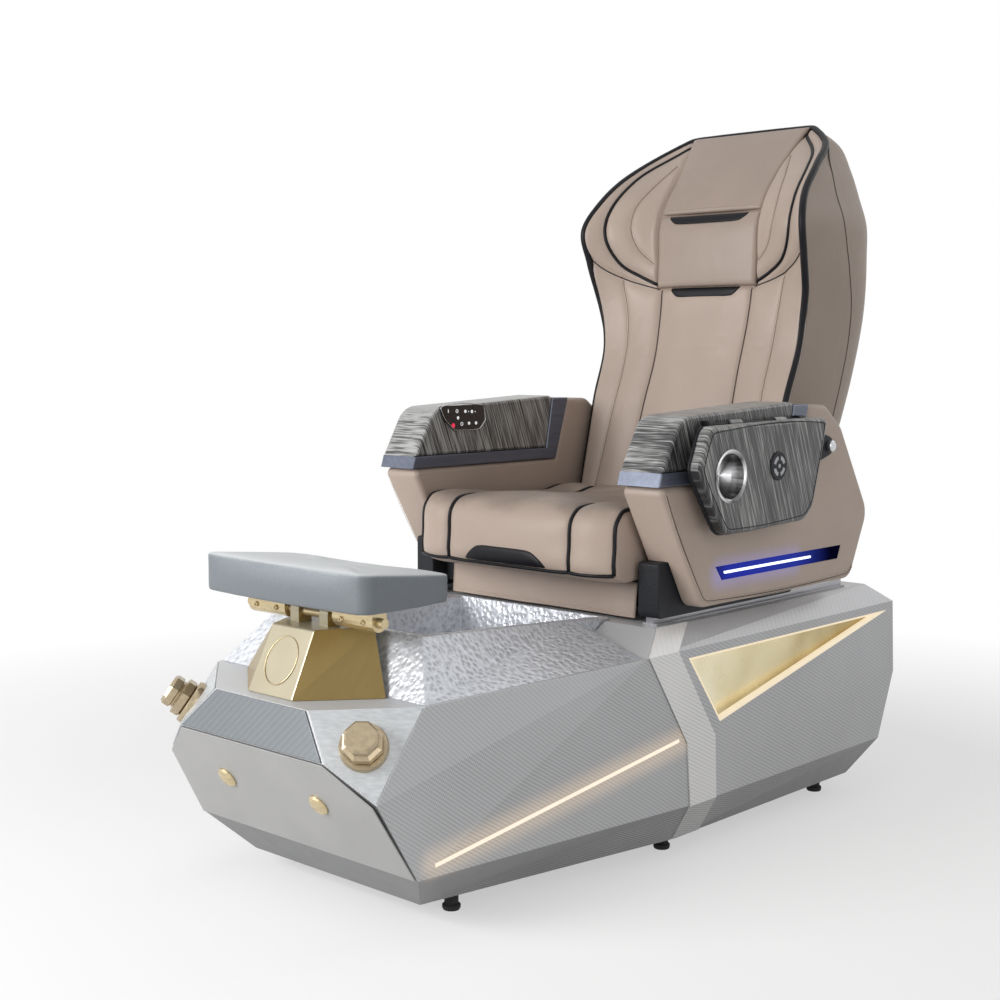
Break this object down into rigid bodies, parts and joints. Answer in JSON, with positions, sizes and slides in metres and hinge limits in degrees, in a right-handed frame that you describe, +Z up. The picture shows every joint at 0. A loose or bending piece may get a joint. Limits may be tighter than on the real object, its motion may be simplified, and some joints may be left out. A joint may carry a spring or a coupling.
{
  "type": "pedicure chair",
  "caption": "Foot-spa lounge chair: faceted base with basin and tilting footrest carries a sliding seat with reclining padded back, lift-up arms and a fold-out side tray.",
  "frame": {"origin": "on the floor, under the middle of the whole object's box, tray included", "axes": "+X to the sitter's left, +Y from the foot end to the back, +Z up"},
  "size_m": [0.8264, 1.6788, 1.518],
  "materials": {
    "arm_band_left": "blue-steel chrome",
    "arm_band_right": "blue-steel chrome",
    "arm_body_left": "soft grained synthetic leather",
    "arm_body_right": "soft grained synthetic leather",
    "arm_cap_left": "dark streaked veneer, satin lacquer",
    "arm_cap_right": "dark streaked veneer, satin lacquer",
    "arm_light_left": "blue light diffuser",
    "arm_light_right": "blue light diffuser",
    "arm_pivot_left": "satin",
    "arm_pivot_right": "satin",
    "back_pad": "soft grained synthetic leather",
    "back_shell": "soft grained synthetic leather",
    "base_shell": "silver carbon-weave film under clear lacquer",
    "basin_drain": "polished",
    "belt_left": "silver carbon-weave film under clear lacquer",
    "belt_right": "silver carbon-weave film under clear lacquer",
    "control_panel": "piano black",
    "corner_plate_left": "brushed",
    "corner_plate_right": "brushed",
    "cup_holder": "polished",
    "foot_basin": "hammered",
    "foot_front_left": "moulded",
    "foot_front_right": "moulded",
    "foot_middle_left": "moulded",
    "foot_middle_right": "moulded",
    "foot_rear_left": "moulded",
    "foot_rear_right": "moulded",
    "footrest_bracket_left": "polished champagne gold",
    "footrest_bracket_right": "polished champagne gold",
    "footrest_pad": "silver-grey vinyl",
    "footrest_pedestal": "polished champagne gold",
    "footrest_shaft": "polished champagne gold",
    "front_access_panel": "smooth grey-beige",
    "front_light_left": "warm white light diffuser",
    "front_light_right": "warm white light diffuser",
    "gold_wedge_left": "polished champagne gold",
    "gold_wedge_right": "polished champagne gold",
    "head_pillow": "soft grained synthetic leather",
    "jet_cover": "textured black",
    "neck_pillow": "soft grained synthetic leather",
    "nose_strip": "dark carbon-weave film under clear lacquer",
    "panel_cap_left": "polished champagne gold",
    "panel_cap_right": "polished champagne gold",
    "recline_shaft": "satin",
    "seat_apron": "soft grained synthetic leather",
    "seat_cushion": "soft grained synthetic leather",
    "seat_frame": "textured black",
    "side_bracket_left": "textured black",
    "side_bracket_right": "textured black",
    "slide_rail_left": "satin",
    "slide_rail_right": "satin",
    "tray_keypad": "piano black",
    "tray_mount": "textured black",
    "tray_panel": "dark streaked veneer, satin lacquer",
    "water_knob_left": "polished champagne gold",
    "water_knob_right": "polished champagne gold",
    "wedge_light_left": "warm white light diffuser",
    "wedge_light_right": "warm white light diffuser"
  },
  "bodies": {
    "base": {"base_shell": "base_shell", "front_access_panel": "front_access_panel", "nose_strip": "nose_strip", "foot_basin": "foot_basin", "basin_drain": "basin_drain", "jet_cover": "jet_cover", "footrest_pedestal": "footrest_pedestal", "footrest_shaft": "footrest_shaft", "belt_left": "belt_left", "corner_plate_left": "corner_plate_left", "front_light_left": "front_light_left", "gold_wedge_left": "gold_wedge_left", "panel_cap_left": "panel_cap_left", "slide_rail_left": "slide_rail_left", "wedge_light_left": "wedge_light_left", "foot_front_left": "foot_front_left", "foot_middle_left": "foot_middle_left", "foot_rear_left": "foot_rear_left", "belt_right": "belt_right", "corner_plate_right": "corner_plate_right", "front_light_right": "front_light_right", "gold_wedge_right": "gold_wedge_right", "panel_cap_right": "panel_cap_right", "slide_rail_right": "slide_rail_right", "wedge_light_right": "wedge_light_right", "foot_front_right": "foot_front_right", "foot_middle_right": "foot_middle_right", "foot_rear_right": "foot_rear_right"},
    "footrest": {"footrest_pad": "footrest_pad", "footrest_bracket_left": "footrest_bracket_left", "footrest_bracket_right": "footrest_bracket_right"},
    "chair": {"seat_frame": "seat_frame", "seat_apron": "seat_apron", "seat_cushion": "seat_cushion", "recline_shaft": "recline_shaft", "side_bracket_left": "side_bracket_left", "side_bracket_right": "side_bracket_right", "arm_pivot_left": "arm_pivot_left", "arm_pivot_right": "arm_pivot_right"},
    "backrest": {"back_pad": "back_pad", "back_shell": "back_shell", "head_pillow": "head_pillow", "neck_pillow": "neck_pillow"},
    "arm_left": {"arm_body_left": "arm_body_left", "arm_band_left": "arm_band_left", "arm_cap_left": "arm_cap_left", "arm_light_left": "arm_light_left", "tray_mount": "tray_mount"},
    "knob_left": {"water_knob_left": "water_knob_left"},
    "arm_right": {"arm_body_right": "arm_body_right", "arm_band_right": "arm_band_right", "arm_cap_right": "arm_cap_right", "arm_light_right": "arm_light_right", "control_panel": "control_panel"},
    "knob_right": {"water_knob_right": "water_knob_right"},
    "tray": {"tray_panel": "tray_panel", "cup_holder": "cup_holder", "tray_keypad": "tray_keypad"}
  },
  "joints": [
    {"name": "chair_slide", "type": "slide", "parent": "base", "child": "chair", "axis": [0, 1, 0], "range_m": [0, 0.12]},
    {"name": "back_recline", "type": "hinge", "parent": "chair", "child": "backrest", "pos_m": [-0.03015, 0.4255, 0.602], "axis": [-1, 0, 0], "range_deg": [0, 35]},
    {"name": "arm_lift_left", "type": "hinge", "parent": "chair", "child": "arm_left", "pos_m": [0.25285, 0.4435, 0.632], "axis": [-1, 0, 0], "range_deg": [0, 35]},
    {"name": "arm_lift_right", "type": "hinge", "parent": "chair", "child": "arm_right", "pos_m": [-0.31315, 0.4435, 0.632], "axis": [-1, 0, 0], "range_deg": [0, 35]},
    {"name": "tray_flip", "type": "hinge", "parent": "arm_left", "child": "tray", "pos_m": [0.36585, 0.0335, 0.863], "axis": [0, -1, 0], "range_deg": [0, 90]},
    {"name": "footrest_tilt", "type": "hinge", "parent": "base", "child": "footrest", "pos_m": [-0.03015, -0.6815, 0.536], "axis": [1, 0, 0], "range_deg": [-12, 25]},
    {"name": "knob_turn_left", "type": "hinge", "parent": "base", "child": "knob_left", "pos_m": [0.20725, -0.77926, 0.34608], "axis": [0.5472, -0.6178, 0.5647], "range_deg": [-90, 0]},
    {"name": "knob_turn_right", "type": "hinge", "parent": "base", "child": "knob_right", "pos_m": [-0.26755, -0.77926, 0.34608], "axis": [-0.5472, -0.6178, 0.5647], "range_deg": [0, 90]}
  ]
}
